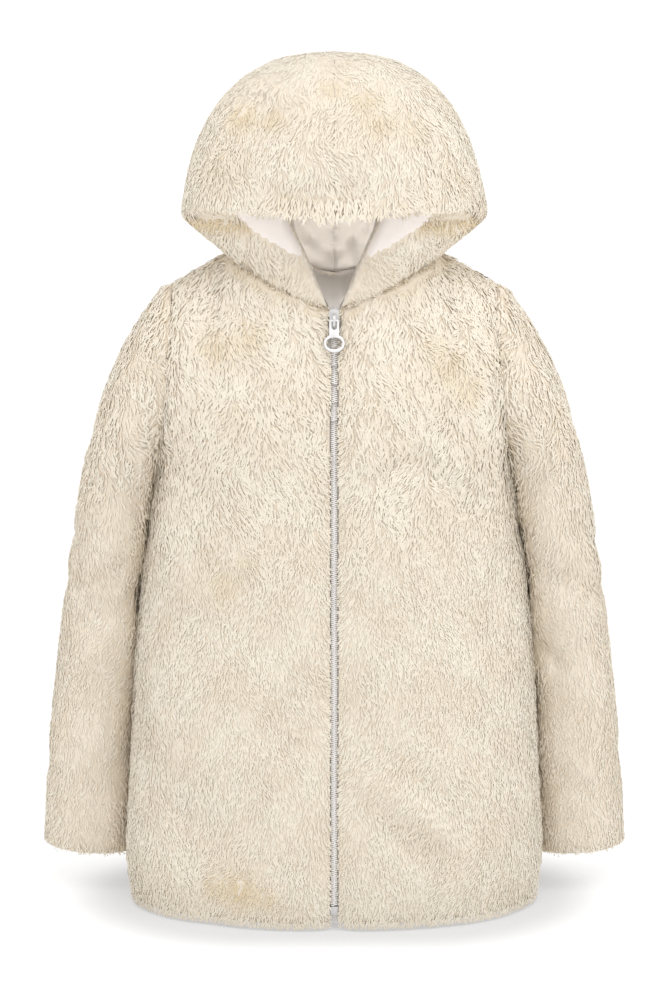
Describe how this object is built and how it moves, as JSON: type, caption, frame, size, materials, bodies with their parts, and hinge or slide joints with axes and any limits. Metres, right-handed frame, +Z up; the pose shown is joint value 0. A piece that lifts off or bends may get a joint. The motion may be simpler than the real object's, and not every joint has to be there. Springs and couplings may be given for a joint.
{
  "type": "fleece hoodie",
  "caption": "Child's long zip-up hooded jacket in thick cream pile fleece, hood up and zip closed, with a smooth lining in the hood and a ring pull on the zip.",
  "frame": {"origin": "the middle of the base of the neck, between the two side neck points, where the wearer's neck and shoulders hold the garment up", "axes": "+Z up, -Y is the front, +X is the wearer's left"},
  "size_m": [0.4808, 0.2235, 0.677],
  "materials": {
    "pile_fleece": "long soft curly pile, matt, cream, lying mostly downwards",
    "smooth_lining": "smooth woven lining with a soft satin sheen",
    "zip_tape": "fine woven tape, matt",
    "zip_teeth": "moulded coil, slightly glossy",
    "zip_metal": "pale enamelled and plated metal, smooth"
  },
  "bodies": {
    "garment": {"front_left": "pile_fleece", "front_right": "pile_fleece", "back": "pile_fleece", "sleeve_left": "pile_fleece", "sleeve_right": "pile_fleece", "hood_left": "pile_fleece", "hood_right": "pile_fleece", "hood_lining_left": "smooth_lining", "hood_lining_right": "smooth_lining", "back_lining": "smooth_lining", "zip_tape_left": "zip_tape", "zip_tape_right": "zip_tape", "zip_chain": "zip_teeth", "zip_slider": "zip_metal", "zip_box": "zip_metal"},
    "zip_pull": {"zip_pull": "zip_metal"}
  },
  "joints": [
    {"name": "pull_swing", "type": "hinge", "parent": "garment", "child": "zip_pull", "pos_m": [0, -0.07713, -0.03911], "axis": [-1, 0, 0], "range_deg": [0, 135]}
  ]
}
